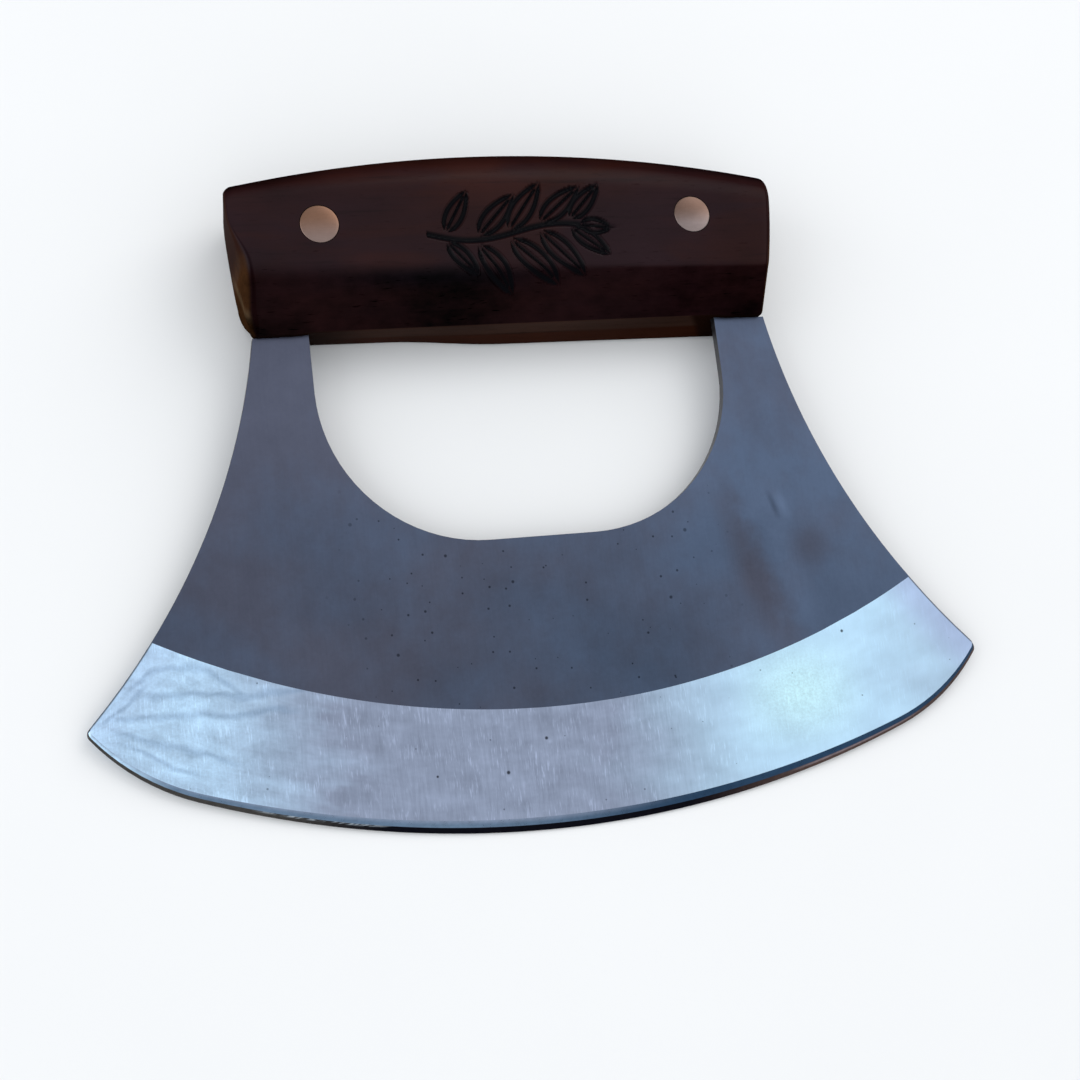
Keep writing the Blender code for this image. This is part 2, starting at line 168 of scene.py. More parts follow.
class Value:
    """A number socket of a shader that takes part in Python sums."""

    def __init__(self, shader, socket):
        self.shader = shader
        self.socket = socket

    def math(self, operation, *others):
        inputs = dict(enumerate((self, *others)))
        return self.shader.value("ShaderNodeMath", {"operation": operation}, inputs)

    def __add__(self, other):
        return self.math("ADD", other)

    __radd__ = __add__

    def __sub__(self, other):
        return self.math("SUBTRACT", other)

    def __rsub__(self, other):
        return self.math("MULTIPLY", -1) + other

    def __mul__(self, other):
        return self.math("MULTIPLY", other)

    __rmul__ = __mul__

    def __truediv__(self, other):
        return self.math("DIVIDE", other)

    def clamp(self):
        return self.math("MAXIMUM", 0).math("MINIMUM", 1)

    def distance(self):
        return self.math("ABSOLUTE")

    def swing(self, amount):
        """Noise, which lies about 0.5, as a swing about 0."""
        return (self - 0.5) * amount

    def ramp(self, low, high):
        """0 at low, 1 at high and smooth in between, whichever of the two is larger."""
        if low > high:
            return 1 - self.ramp(high, low)
        settings = {"interpolation_type": "SMOOTHSTEP"}
        inputs = {"Value": self, "From Min": low, "From Max": high}
        return self.shader.value("ShaderNodeMapRange", settings, inputs)

    def band(self, middle, reach):
        """1 at the middle, falling smoothly to 0 at the reach on either side."""
        return (self - middle).distance().ramp(reach, 0)


class Shader:
    """One material under construction, with the knife's own coordinates in millimetres."""

    def __init__(self, name):
        self.material = bpy.data.materials.new(name)
        self.material.use_nodes = True
        self.tree = self.material.node_tree
        self.surface = self.tree.nodes["Principled BSDF"]
        coordinates = self.node("ShaderNodeTexCoord").outputs["Object"]
        placing = {
            "Vector": coordinates,
            "Location": TO_KNIFE.translation * PER_METRE,
            "Rotation": TO_KNIFE.to_euler(),
            "Scale": (PER_METRE, PER_METRE, PER_METRE),
        }
        self.place = self.node("ShaderNodeMapping", {}, placing).outputs["Vector"]
        self.x, self.y, self.z = self.parts(self.place)

    def node(self, kind, settings=None, inputs=None):
        """A node of any type, with its settings made first and its sockets fed after."""
        node = self.tree.nodes.new(kind)
        for name, setting in (settings or {}).items():
            setattr(node, name, setting)
        for name, source in (inputs or {}).items():
            self.feed(node.inputs[name], source)
        return node

    def feed(self, socket, source):
        source = source.socket if isinstance(source, Value) else source
        if isinstance(source, bpy.types.NodeSocket):
            self.tree.links.new(source, socket)
        else:
            socket.default_value = source

    def value(self, kind, settings, inputs, output=0):
        return Value(self, self.node(kind, settings, inputs).outputs[output])

    def parts(self, vector):
        """The three numbers that make up a vector."""
        split_up = self.node("ShaderNodeSeparateXYZ", {}, {"Vector": vector})
        return [Value(self, socket) for socket in split_up.outputs]

    def stretched(self, scale):
        return self.node("ShaderNodeMapping", {}, {"Vector": self.place, "Scale": scale}).outputs["Vector"]

    def noise(self, along=1, across=None, deep=None, detail=2, roughness=0.5, distortion=0,
              place=None):
        """Noise with its own number of ripples per millimetre along X, along Y and along Z."""
        across = across or along
        inputs = {"Vector": place or self.stretched((along, across, deep or across)), "Scale": 1,
                  "Detail": detail, "Roughness": roughness, "Distortion": distortion}
        return self.value("ShaderNodeTexNoise", {}, inputs)

    def specks(self, pitch, radius, share):
        """Round specks scattered over X and Y: their usual distance, size and how many cells hold one."""
        cell = 1 / pitch
        inputs = {"Vector": self.stretched((cell, cell, cell)), "Scale": 1, "Randomness": 1}
        cells = self.node("ShaderNodeTexVoronoi", {"voronoi_dimensions": "2D"}, inputs)
        chance = self.node("ShaderNodeSeparateColor", {}, {"Color": cells.outputs["Color"]})
        lucky = Value(self, chance.outputs["Red"]).math("GREATER_THAN", 1 - share)
        size = Value(self, chance.outputs["Green"]) * 0.7 + 0.3
        distance = Value(self, cells.outputs["Distance"]) / size
        return lucky * distance.ramp(radius * cell, radius * cell * 0.4)

    def spot(self, x, y, radius, core=0.35):
        """A round spot at a place, full within its core and soft outside it."""
        right = self.x - x
        up = self.y - y
        return (right * right + up * up).math("SQRT").ramp(radius, radius * core)

    def stroke(self, across, half_width, start, end, fade=5):
        """A soft line where a number is 0, between two places along X."""
        return across.band(0, half_width) * self.x.ramp(start, start + fade) * self.x.ramp(end, end - fade)

    def mix(self, factor, first, second):
        """A colour between two colours or colour sockets."""
        inputs = {0: factor, 6: as_colour(first), 7: as_colour(second)}
        settings = {"data_type": "RGBA", "clamp_factor": True}
        return self.node("ShaderNodeMix", settings, inputs).outputs[2]

    def layers(self, colour, *laid_over):
        """A colour with others laid over it in turn, each by its own factor."""
        for factor, layer in laid_over:
            colour = self.mix(factor, colour, layer)
        return colour

    def tint(self, colour, strength):
        """A colour made lighter or darker by a number that changes over the surface."""
        inputs = {0: colour if isinstance(colour, bpy.types.NodeSocket) else tuple(colour), 3: strength}
        return self.node("ShaderNodeVectorMath", {"operation": "SCALE"}, inputs).outputs[0]

    def bump(self, height, strength, distance):
        inputs = {"Height": height, "Strength": strength, "Distance": distance}
        return self.node("ShaderNodeBump", {}, inputs).outputs["Normal"]

    def finish(self, base_color, roughness, **others):
        """Feed the Principled shader. A socket is named with underscores for its spaces."""
        for name, source in {"base_color": base_color, "roughness": roughness, **others}.items():
            title = name.replace("_", " ").title().replace("Ior", "IOR")
            self.feed(self.surface.inputs[title], source)
        return self.material


def as_colour(colour):
    if isinstance(colour, bpy.types.NodeSocket):
        return colour
    return (*colour, 1)


def plate_steel(settings):
    """Satin plate: cloudy slate with faint hairlines, a stain, a nick and scattered dark pits, painted
    brighter towards the top and right as a reflection, with painted shade over the right leg and under the
    handle.
    """
    steel = Shader("plate_steel")
    x, y = steel.x, steel.y
    cloud = steel.noise(0.055, detail=3)
    patch = steel.noise(0.035, 0.05, detail=1)
    mottle = steel.noise(0.26, 0.2, detail=3, roughness=0.6)
    hairline = steel.noise(2.6, 0.07, detail=3, roughness=0.6)
    grit = steel.noise(1.6)
    # Painted reflection: brighter towards the top and right. Painted shade over the right leg and under the
    # handle, and darker in a patch low on the right.
    tone = 0.86 + y.ramp(34, 78) * 0.26 + x.ramp(8, 48) * 0.1
    tone -= x.ramp(26, 40) * y.ramp(56, 80) * 0.24
    tone -= x.band(12, 26) * y.band(25, 16) * 0.13 + y.ramp(80, 85.5) * 0.12
    tone += cloud.swing(0.4) + mottle.swing(0.22) + hairline.swing(0.1) + grit.swing(0.12)
    drop = 57 - y
    smear = x - drop * drop * 0.009 - 33.5 + cloud.swing(6) + mottle.swing(3)
    low_right = y.band(41, 22)
    stain = smear.band(0, 5) * low_right
    stain = (stain + steel.spot(47.5, 43.2, 6, 0) * (0.35 + mottle)).clamp()
    tone += smear.band(7, 3.6) * low_right * 0.1 - stain * 0.17
    nick = x - (53 - y) * 0.28 - 41.2
    near_nick = y.band(50.8, 3.6)
    tone += near_nick * (nick.band(1.7, 1.5) * 0.26 - nick.band(0, 0.9) * 0.34)
    pitted = x.ramp(-42, -24) * x.ramp(40, 18) * y.ramp(62, 52)
    pits = (steel.specks(3.4, 0.31, 0.42) + steel.specks(5.3, 0.44, 0.38)).clamp() * pitted
    tone *= 1 - pits * 0.62
    cool = x.ramp(-46, 44) * 0.7 + patch.ramp(0.36, 0.64) * 0.45 + mottle.swing(0.8)
    cool = (cool - stain * 0.9 - y.ramp(50, 72) * 0.55).clamp()
    colour = steel.tint(steel.mix(cool, settings.plate_colour, settings.cool_colour), tone)
    rough = 0.4 + cloud.swing(0.16) + pits * 0.2
    normal = steel.bump(hairline * 0.35 + grit * 0.2 + mottle * 0.5 - pits * 1.2, 0.3, 0.03 * MM)
    return steel.finish(colour, rough, metallic=1, normal=normal)


# The circles of the plate's hollow flanks, in millimetres: radius, centre to the side and its height.
FLANK_RADIUS, FLANK_SIDE, FLANK_HEIGHT = 116.6, 160.14, 104.17


def flank_distance(steel):
    """How far a point of the blade lies in from the nearer flank, in millimetres."""
    side = steel.x.distance() - FLANK_SIDE
    up = steel.y - FLANK_HEIGHT
    return (side * side + up * up).math("SQRT") - FLANK_RADIUS


# The fine waves follow the edge's curve, y = EDGE_CURVE * x * x in millimetres.
EDGE_CURVE = 0.0029
LEFT_TIP = (-77, 23)
# Slope, level and half width of each ripple from the left tip, where it starts and ends, and its fade.
RIPPLES = (
    (0.055, 5.2, 1, -70, -34, 5),
    (-0.75, -1.6, 0.75, -75, -65, 3),
    (0.03, 1.5, 1, -75, -42, 5),
    (0.36, 1.25, 0.95, -74, -52, 5),
    (0.52, 0.84, 0.8, -73, -58, 5),
)
# Place and radius of the largest pits in the grind, in millimetres.
PITS = ((-10.7, 9.9, 0.42), (-3.7, 14.8, 0.38), (51.1, 27.7, 0.36), (-22.4, 10.5, 0.28))


def ground_steel(settings):
    """The shiny grind: fine lines across the edge and ripples fanning from the left tip, with painted
    reflections to the left and right, a painted gleam with glints, and a painted dark line along the flanks.
    """
    steel = Shader("ground_steel")
    x, y = steel.x, steel.y
    follow = y - x * x * EDGE_CURVE
    along_edge = steel.node("ShaderNodeCombineXYZ", {}, {"X": x * 0.11, "Y": follow * 0.32}).outputs[0]
    line = steel.noise(2.2, 0.16, detail=4, roughness=0.7)
    tick = steel.noise(4, 0.45, roughness=0.6).ramp(0.52, 0.72)
    bunch = steel.noise(0.24, 0.3).ramp(0.38, 0.62)
    blotch = steel.noise(0.07, 0.13, detail=3)
    frost = steel.noise(0.3, 0.24, detail=3, roughness=0.6)
    inward = flank_distance(steel)
    wave = steel.noise(detail=3, roughness=0.55, place=along_edge)
    sway = steel.noise(0.16, 0.22)
    glint = steel.noise(2.4, roughness=0.7)
    left = x.ramp(-36, -60)
    right = x.ramp(3, 39)
    grain = (1 - right * 0.78) * (1 - left * 0.35)
    inland = x - LEFT_TIP[0]
    swaying = y - LEFT_TIP[1] + sway.swing(3.4)
    arch = inland - 15.5
    ripples = steel.stroke(swaying + arch * arch * 0.055 - 9, 1.1, -72, -50)
    for slope, level, half_width, start, end, fade in RIPPLES:
        ripples += steel.stroke(swaying + inland * slope - level, half_width, start, end, fade)
    fan = (y - 21.5).math("ARCTAN2", x + 79)
    feather = (fan * 46 + sway * 7).math("SINE").ramp(0.1, 1) * x.ramp(-42, -62)
    # Painted highlight: a gleam on the right of the grind, with painted glints in it.
    painted_gleam = x.band(42, 15) * y.band(18, 12)
    # Painted reflections: the grind lit pale blue to the left and to the right, broken up by blotches.
    shine = blotch.swing(0.5) - x.ramp(54, 74) * 0.45
    left_reflection = (left * 0.85 + shine + wave.swing(0.6)).clamp() * x.ramp(-26, -40)
    right_reflection = (right + shine).clamp() * x.ramp(-4, 8)
    pits = steel.specks(6, 0.26, 0.3) * 0.6
    for pit in PITS:
        pits += steel.spot(*pit)
    pits = pits.clamp()
    # Painted highlight beside the two largest pits.
    pit_highlight = steel.spot(-10.7, 8.9, 0.8, 0) + steel.spot(-3.2, 14.2, 0.6, 0)
    tone = 0.885 + line.swing(0.44) * grain + tick * bunch * 0.36 * grain + blotch.swing(0.16)
    tone += wave.swing(0.5 - right * 0.3) - ripples.clamp() * 0.09 - feather * 0.05
    # Painted reflection and glints: brighter to the left and near the flank there, a little brighter to the
    # right, and glinting in the gleam.
    tone += frost.swing(0.34 - right * 0.2) + left * glint.swing(0.34) + left * 0.05
    tone += left * inward.ramp(9, 2) * 0.08 + right * 0.02
    tone += painted_gleam * 0.05 + painted_gleam * glint.swing(0.5)
    tone = tone * (1 - pits * 0.85) + pit_highlight * 0.2
    lavender = inward.ramp(8, 1) * (x.ramp(48, 60) * 0.55 + left * 0.15)
    colour = steel.layers(
        settings.ground_colour, (left_reflection, settings.left_reflection_colour), (right_reflection, settings.right_reflection_colour),
        (painted_gleam * 0.6, (0.64, 0.95, 0.95)), (lavender, (0.43, 0.5, 0.76)),
        (ripples.clamp() * 0.34, (0.25, 0.37, 0.56)))
    # Painted shade: a dark line along the flanks, where the edge turns away.
    colour = steel.mix(inward.ramp(0.34, 0.08) * 0.85, steel.tint(colour, tone), (0.035, 0.036, 0.044))
    rough = 0.34 + line.swing(0.16) * grain
    normal = steel.bump(line * 0.5 * grain + tick * 0.3 * grain - ripples * 0.3 - pits, 0.35, 0.03 * MM)
    return steel.finish(colour, rough, metallic=1, normal=normal)


def upper_facet_steel(settings):
    """The honed facet above the edge, painted with its reflections: pale blue grey to the left, deep blue to
    the right.
    """
    steel = Shader("upper_facet")
    glint = steel.noise(0.9, detail=3, roughness=0.7)
    drag = steel.noise(0.1, 0.8)
    border = steel.z.distance().ramp(0.3, 0.46) * steel.x.ramp(24, -12)
    # Painted reflections along the facet, with the left reflection colour at its far left.
    colour = steel.layers(
        (0.15, 0.225, 0.33), (steel.x.ramp(-22, 22), (0.028, 0.062, 0.118)),
        (steel.x.ramp(-63, -73), settings.left_reflection_colour), (border * 0.65, settings.ground_colour))
    colour = steel.tint(colour, 0.9 + drag.swing(0.5) + glint.swing(0.5))
    return steel.finish(colour, 0.3 + glint.swing(0.2), metallic=1)


def lower_facet_steel():
    """The last facet, painted with its reflections: black in the middle, mauve brown to the right and brown
    grey to the left, with a broken pale highlight and a pink line.
    """
    steel = Shader("lower_facet")
    glint = steel.noise(1.4, detail=3, roughness=0.7)
    dash = steel.noise(0.45, 4).ramp(0.44, 0.6)
    half = steel.z.distance()
    # Painted highlight: a broken pale line along the waist on the left. Painted reflection: a pink line on
    # the right.
    pale = steel.stroke(half - 0.24, 0.09, -54, -29, 7) * dash
    pink_reflection = steel.stroke(half - 0.2, 0.07, 36, 66, 8)
    colour = steel.layers(
        (0.006, 0.006, 0.01), (steel.x.ramp(-30, -52), (0.07, 0.066, 0.062)),
        (steel.x.ramp(18, 46), (0.105, 0.068, 0.06)),
        (pale * 0.85, (0.56, 0.64, 0.72)), (pink_reflection * 0.6, (0.4, 0.33, 0.36)))
    colour = steel.tint(colour, 0.8 + glint.swing(0.8))
    return steel.finish(colour, 0.32 + glint.swing(0.2), metallic=1)


def rim_steel():
    """The plate's sawn and filed rim: dark along the flanks, greyer inside the opening."""
    steel = Shader("rim_steel")
    file_mark = steel.noise(1.2, 1.2, 0.15, detail=3, roughness=0.65)
    age = steel.noise(0.08)
    opening = steel.x.distance().ramp(38, 36) * steel.y.ramp(44, 46)
    tone = 0.7 + file_mark.swing(0.7) + age * 0.5
    colour = steel.tint(steel.mix(opening, (0.036, 0.034, 0.036), (0.105, 0.106, 0.114)), tone)
    rough = 0.42 + file_mark.swing(0.3)
    normal = steel.bump(file_mark, 0.3, 0.04 * MM)
    return steel.finish(colour, rough, metallic=1, normal=normal)


def varnished_wood(settings):
    """Dark hardwood with its grain along X, under a satin varnish, stained where it is carved. Shade is
    painted on the lower facet, the crown, the arrises and near the legs, and highlights on the left end and
    along the front of the underside.
    """
    wood = Shader("varnished_wood")
    x, z = wood.x, wood.z
    stain = wood.value("ShaderNodeAttribute", {"attribute_name": "stain"}, {}, "Fac")
    sideways, upward, _ = wood.parts(wood.node("ShaderNodeNewGeometry").outputs["Normal"])
    rise = wood.y - HANDLE_BASE * PER_METRE
    sideways = sideways.distance()
    end = sideways.ramp(0.34, 0.68) * x.distance().ramp(41, 44)
    brow = sideways.band(0.22, 0.18)
    under = (0 - upward).ramp(0.74, 0.88) * rise.ramp(2.2, 1.2)
    crown = upward.ramp(0.25, 0.8)
    figure = wood.noise(0.03, 0.11, detail=3, roughness=0.55, distortion=0.6)
    patch = wood.noise(0.06, 0.09)
    streak = wood.noise(0.05, 0.9, detail=3, roughness=0.65)
    fibre = wood.noise(0.12, 6, roughness=0.6)
    mottle = wood.noise(0.3, 0.45, detail=3, roughness=0.6)
    pore = wood.noise(0.42, 3.8, detail=1).ramp(0.68, 0.76)
    # Painted shade: the lower facet darkened, with a dark bluish band of painted shade below the crease.
    below = 8.2 - x * 0.0263 - rise
    softness = 2.6 - x.ramp(-8, 22) * 2
    lower = (below / softness).ramp(-0.5, 0.7) * (1 - under)
    red = (figure.ramp(0.4, 0.66) * 0.6 + rise.ramp(17, 27) * 0.5).clamp()
    shade = x.band(-14, 26) * below.band(1.4, 2.6)
    colour = wood.layers(
        settings.wood_colour, (red, settings.red_colour),
        (streak.ramp(0.54, 0.76) * 0.45, (0.007, 0.003, 0.0035)),
        (lower * 0.75, (0.0105, 0.003, 0.0034)), (shade * 0.8, (0.0042, 0.0034, 0.0062)))
    # Painted highlight: a pale band across the left end.
    end_highlight = (rise - 6.4 + z * 1.2).band(0, 2.6) * x.ramp(0, -20)
    ragged = rise + mottle.swing(5)
    raw = wood.layers(settings.end_colour, (end_highlight * 0.7, (0.115, 0.072, 0.04)),
                      (ragged.ramp(8.5, 14), (0.02, 0.0072, 0.005)))
    raw = wood.tint(raw, 0.75 + streak * 0.5)
    colour = wood.mix(end, colour, raw)
    # On the underside, painted shade near the legs and a painted highlight along the front.
    between_legs = x.ramp(-35, -22) * (x + z * 0.5).ramp(33, 31.5)
    strip = wood.mix(z.ramp(-2.9, -2.1), (0.02, 0.0056, 0.0028), (0.025, 0.0118, 0.0082))
    seam = z.band(-2.6, 0.45) * x.band(4, 22) * streak.ramp(0.46, 0.6)
    strip = wood.mix(seam * 0.8, strip, (0.003, 0.0015, 0.001))
    strip = wood.mix(between_legs, (0.009, 0.0034, 0.0022), strip)
    colour = wood.mix(under, colour, wood.tint(strip, 0.8 + streak * 0.4))
    # Painted shade: darker near the legs, over the crown, along the arrises and on the lower facet.
    leg_shade = x.distance().ramp(33, 40) * rise.ramp(4.5, 0.5)
    tone = 1 + fibre.swing(0.24) + patch.swing(0.9) - pore * (0.2 + lower * 0.2)
    tone += mottle.swing(0.18 + lower * 0.8)
    tone -= lower * (0.22 + x.band(-14, 24) * 0.46) + crown * 0.5 + leg_shade * 0.55
    tone -= brow * rise.ramp(2, 9) * 0.3
    colour = wood.mix(stain, wood.tint(colour, tone), (0.0036, 0.0036, 0.0046))
    rough = 0.46 + streak.swing(0.12) + stain * 0.12
    normal = wood.bump(fibre * 0.15 + streak * 0.2 - pore * 0.6, 0.22, 0.04 * MM)
    shaded = lower * 0.12 + x.ramp(10, 44) * 0.05 + (end + under + brow) * 0.11
    shaded += upward.ramp(0.04, 0.5) * 0.15
    coat = 0.15 - stain * 0.07 - pore * 0.06 - shaded
    return wood.finish(colour, rough, normal=normal, coat_weight=coat.clamp(), coat_roughness=0.22,
                       specular_ior_level=0)


def polished_metal(settings):
    """A pin's rubbed end with faint rubbing marks, painted with its reflections: warm at the top and greyer
    below and on the right pin, with painted shade over the right pin's top.
    """
    metal = Shader("polished_pin")
    rub = metal.noise(0.5, 5, roughness=0.6)
    spot = metal.noise(0.45)
    # Painted reflections: warm at the top, grey below and on the right pin. Painted shade over the right
    # pin's top.
    low = (metal.y - PIN_LEVEL * PER_METRE).ramp(1.5, -3.2)
    right = metal.x.math("GREATER_THAN", 0)
    grey = (low * (0.62 + right * 0.38) + right * 0.25).clamp()
    colour = metal.mix(grey, settings.metal_colour, settings.grey_reflection_colour)
    tone = 0.92 + rub.swing(0.12) + spot.swing(0.25) - right * (1 - low) * 0.3
    colour = metal.tint(colour, tone)
    rough = 0.32 + rub.swing(0.14)
    normal = metal.bump(rub, 0.15, 0.02 * MM)
    return metal.finish(colour, rough, metallic=1, normal=normal)


def pale_floor(settings):
    """A plain pale surface, very faintly uneven."""
    paper = Shader("pale_floor")
    tooth = paper.noise(0.02)
    colour = paper.tint(settings.floor_colour, 0.99 + tooth.swing(0.03))
    return paper.finish(colour, 0.85)


def new_object(name, data):
    thing = bpy.data.objects.new(name, data)
    bpy.context.scene.collection.objects.link(thing)
    return thing


def new_solid(name, bm, materials):
    """An object with the mesh of a bmesh, which is freed."""
    mesh = bpy.data.meshes.new(name)
    bm.to_mesh(mesh)
    bm.free()
    for material in materials:
        mesh.materials.append(material)
    return new_object(name, mesh)


def new_piece(name, bm, materials, slot=None, replaced=()):
    """A solid given in the knife's frame, laid on the table. With a slot it rides on the CAD body."""
    bmesh.ops.transform(bm, matrix=TO_TABLE, verts=bm.verts)
    piece = new_solid(name, bm, materials)
    if slot:
        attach(piece, "root")
        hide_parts(*replaced)
    return piece


def set_smooth(bm, sharp_angle):
    """Smooth faces, with sharp edges where the surface turns or the finish changes."""
    for face in bm.faces:
        face.smooth = True
    for edge in bm.edges:
        finishes = {face.material_index for face in edge.link_faces}
        edge.smooth = len(finishes) == 1 and edge.calc_face_angle(math.pi) < sharp_angle


class ULU_OT_blade(bpy.types.Operator):
    """Finish the steel plate: ease its arrises and give each ground face its own finish"""
    bl_idname = "ulu.blade"
    bl_label = "Blade"

    PLATE, GROUND, UPPER, LOWER, RIM = range(5)
    RIM_SLOPE, FACET_SLOPE, GROUND_SLOPE, FACE_SLOPE = (math.radians(angle) for angle in (40, 4, 0.5, 3))
    FLAT_ANGLE, ARRIS_ANGLE, SMOOTH_ANGLE = (math.radians(angle) for angle in (0.02, 60, 20))
    LOWER_SLACK, UPPER_SLACK = 0.02 * MM, 0.1 * MM

    def finish_of(self, face, settings):
        """Which of the five finishes a face takes, from its slope and its place."""
        heights = [abs(vert.co.z) for vert in face.verts]
        slope = math.acos(min(1, abs(face.normal.z)))
        centre = Vector((0, settings.grind_rise + settings.grind_radius))
        if slope > self.RIM_SLOPE:
            return self.RIM
        if max(heights) < settings.waist / 2 + self.LOWER_SLACK:
            return self.LOWER
        if slope > self.FACET_SLOPE:
            return self.UPPER if max(heights) < settings.waist + self.UPPER_SLACK else self.RIM
        outside = (face.calc_center_median().to_2d() - centre).length > settings.grind_radius
        return self.GROUND if outside and slope > self.GROUND_SLOPE else self.PLATE

    def execute(self, context):
        settings = context.scene.ulu_blade
        bm = bmesh.new()
        bm.from_mesh(frame["nodes"]["blade"].data)
        bmesh.ops.transform(bm, matrix=TO_KNIFE, verts=bm.verts)
        bmesh.ops.remove_doubles(bm, verts=bm.verts, dist=WELD)
        bmesh.ops.dissolve_limit(bm, verts=bm.verts, edges=bm.edges, angle_limit=self.FLAT_ANGLE)
        arrises = []
        for edge in bm.edges:
            if edge.calc_face_angle(0) < self.ARRIS_ANGLE:
                continue
            high_enough = min(abs(vert.co.z) for vert in edge.verts) > settings.waist
            on_faces = max(abs(face.normal.z) for face in edge.link_faces) > math.cos(self.FACE_SLOPE)
            if high_enough and on_faces:
                arrises.append(edge)
        bmesh.ops.bevel(bm, geom=arrises, offset=settings.easing, offset_type="OFFSET", affect="EDGES",
                        segments=2, profile=0.5, material=-1, clamp_overlap=True)
        for face in bm.faces:
            face.material_index = self.finish_of(face, settings)
        set_smooth(bm, self.SMOOTH_ANGLE)
        materials = [plate_steel(settings), ground_steel(settings), upper_facet_steel(settings),
                     lower_facet_steel(), rim_steel()]
        new_piece("steel_blade", bm, materials, "blade_steel", ["blade"])
        return {"FINISHED"}


def arc(centre, start, end, steps):
    """Points on the shorter arc from start to end about a centre."""
    first = start - centre
    last = end - centre
    sweep = math.atan2(first.x * last.y - first.y * last.x, first.dot(last))
    turns = [Matrix.Rotation(sweep * step / steps, 2) for step in range(steps + 1)]
    return [centre + turn @ first for turn in turns]


def rounded_corner(before, corner, after, radius, steps):
    """The arc that rounds a corner between two straight sides."""
    to_before = (before - corner).normalized()
    to_after = (after - corner).normalized()
    half_angle = to_before.angle(to_after) / 2
    reach = radius / math.tan(half_angle)
    centre = corner + (to_before + to_after).normalized() * (radius / math.sin(half_angle))
    return arc(centre, corner + to_before * reach, corner + to_after * reach, steps)


def split(start, end, steps):
    """Points from start to end, both left out."""
    return [start.lerp(end, step / steps) for step in range(1, steps)]


def eased(value, low, high):
    """0 at low, 1 at high and smooth in between."""
    share = min(1, max(0, (value - low) / (high - low)))
    return share * share * (3 - 2 * share)


def between(first, last, share):
    """The value at a share of the way from first to last."""
    return first + (last - first) * share


